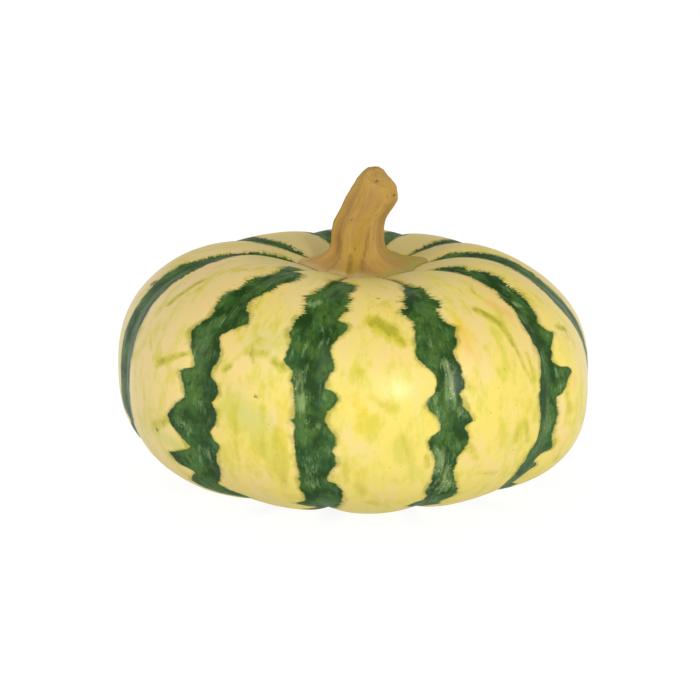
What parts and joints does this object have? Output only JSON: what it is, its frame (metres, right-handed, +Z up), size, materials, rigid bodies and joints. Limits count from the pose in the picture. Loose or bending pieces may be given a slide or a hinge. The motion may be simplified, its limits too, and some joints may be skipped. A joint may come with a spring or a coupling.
{
  "type": "ornamental pumpkin",
  "caption": "Small flattened ribbed pumpkin with a hollow crown, a bent ridged stem with a flared foot, and a base that stands flat.",
  "frame": {"origin": "on the supporting surface, under the middle of the box round the whole pumpkin", "axes": "+Z up through the crown and the stem, -Y towards the viewer of the picture, +X to that viewer's right"},
  "size_m": [0.1338, 0.1294, 0.0931],
  "materials": {
    "rind": "satin",
    "dry_stem": "matte"
  },
  "bodies": {
    "root": {"fruit": "rind", "stem": "dry_stem"}
  },
  "joints": []
}
